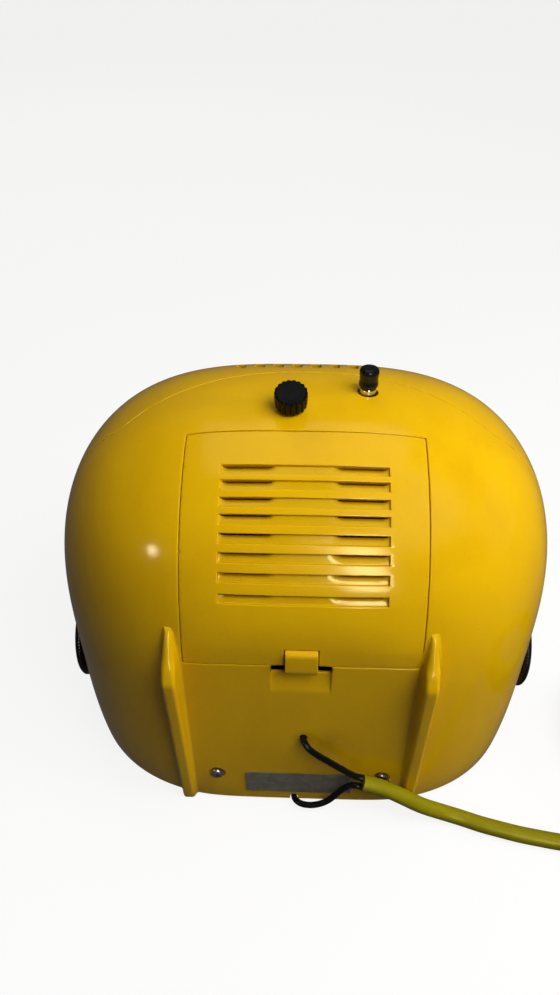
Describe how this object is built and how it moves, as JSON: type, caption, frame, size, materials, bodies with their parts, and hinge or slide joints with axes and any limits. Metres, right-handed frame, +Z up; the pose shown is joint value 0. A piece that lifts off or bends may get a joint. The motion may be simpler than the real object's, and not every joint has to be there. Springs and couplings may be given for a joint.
{
  "type": "portable television",
  "caption": "Small helmet-shaped portable television with louvred rear door, sprung latch, telescopic aerial, knurled top knob, side dials and a rear cable.",
  "frame": {"origin": "centre of the set's box at the level of its feet, measured without the cable and its plug", "axes": "+Z up; +Y towards the back of the set, where the door is; the screen faces -Y; +X is on the left as seen from behind"},
  "size_m": [0.3523, 0.1885, 0.1821],
  "materials": {
    "yellow_plastic": "glossy moulded plastic",
    "black_plastic": "semi-gloss moulded plastic",
    "black_matt": "matt moulded plastic",
    "smoked_window": "smoked, polished",
    "tube_glass": "polished, dark grey",
    "bright_tube": "polished",
    "steel": "bright, slightly dulled",
    "foil": "thin printed foil, blank",
    "rubber": "matt",
    "black_lead": "smooth insulation",
    "green_cable": "smooth sheath",
    "board": "printed board",
    "dark_core": "ferrite and stacked iron",
    "winding": "enamelled wire",
    "grey_metal": "plated sheet",
    "cone_paper": "pressed paper",
    "pale_plastic": "plain",
    "blue_sleeve": "shrunk sleeve"
  },
  "bodies": {
    "set": {"rear_shell": "yellow_plastic", "front_shell": "yellow_plastic", "top_control": "black_matt", "aerial_guide": "black_matt", "tuner_can": "grey_metal", "volume_control": "black_matt", "rear_screw_left": "steel", "rear_screw_right": "steel", "label_plate": "foil", "screen_surround": "black_matt", "screen_window": "smoked_window", "picture_tube": "tube_glass", "tube_band": "grey_metal", "yoke_core": "dark_core", "yoke_coil": "winding", "tube_socket": "pale_plastic", "socket_board": "board", "speaker_basket": "grey_metal", "speaker_cone": "cone_paper", "speaker_magnet": "dark_core", "bottom_plate": "black_matt", "foot_1": "rubber", "foot_2": "rubber", "foot_3": "rubber", "foot_4": "rubber", "main_board": "board", "line_transformer_coil": "winding", "line_transformer_core": "dark_core", "capacitor_1": "blue_sleeve", "capacitor_2": "blue_sleeve", "capacitor_3": "blue_sleeve", "mains_transformer_core": "dark_core", "mains_transformer_coil": "winding", "preset_board": "board", "preset_control_1": "black_matt", "preset_control_2": "pale_plastic", "preset_control_3": "black_matt", "lead_upper": "black_lead", "lead_lower": "black_lead", "cable": "green_cable", "cable_coil": "green_cable", "coil_tie": "black_matt", "cable_tail": "green_cable", "plug_body": "green_cable", "plug_pin_1": "steel", "plug_pin_2": "steel"},
    "door": {"rear_door": "yellow_plastic"},
    "latch": {"door_latch": "yellow_plastic"},
    "top_turn": {"top_knob": "black_plastic", "top_shaft": "steel"},
    "dial_left": {"side_dial_left": "black_plastic", "side_shaft_left": "steel"},
    "dial_right": {"side_dial_right": "black_plastic", "side_shaft_right": "steel"},
    "aerial_a": {"aerial_section_1": "bright_tube"},
    "aerial_b": {"aerial_section_2": "bright_tube"},
    "aerial_c": {"aerial_section_3": "bright_tube"},
    "aerial_d": {"aerial_section_4": "bright_tube", "aerial_cap": "black_plastic"}
  },
  "joints": [
    {"name": "door_hinge", "type": "hinge", "parent": "set", "child": "door", "pos_m": [0, 0.02448, 0.1682], "axis": [1, 0, 0], "range_deg": [0, 70]},
    {"name": "latch_press", "type": "hinge", "parent": "door", "child": "latch", "pos_m": [0, 0.07708, 0.1036], "axis": [-1, 0, 0], "range_deg": [0, 5], "stiffness_Nm_per_rad": 0.05},
    {"name": "top_knob_turn", "type": "hinge", "parent": "set", "child": "top_turn", "pos_m": [0.0059, 0.01218, 0.1724], "axis": [0, 0.342, 0.9397], "range_deg": [-140, 140]},
    {"name": "left_dial_turn", "type": "hinge", "parent": "set", "child": "dial_left", "pos_m": [0.112, -0.00092, 0.0255], "axis": [1, 0, 0], "range_deg": [-150, 150]},
    {"name": "right_dial_turn", "type": "hinge", "parent": "set", "child": "dial_right", "pos_m": [-0.112, -0.00092, 0.0255], "axis": [1, 0, 0], "range_deg": [-140, 140]},
    {"name": "aerial_slide_1", "type": "slide", "parent": "set", "child": "aerial_a", "axis": [0, 0, 1], "range_m": [0, 0.1]},
    {"name": "aerial_slide_2", "type": "slide", "parent": "aerial_a", "child": "aerial_b", "axis": [0, 0, 1], "range_m": [0, 0.098]},
    {"name": "aerial_slide_3", "type": "slide", "parent": "aerial_b", "child": "aerial_c", "axis": [0, 0, 1], "range_m": [0, 0.096]},
    {"name": "aerial_slide_4", "type": "slide", "parent": "aerial_c", "child": "aerial_d", "axis": [0, 0, 1], "range_m": [0, 0.094]}
  ]
}
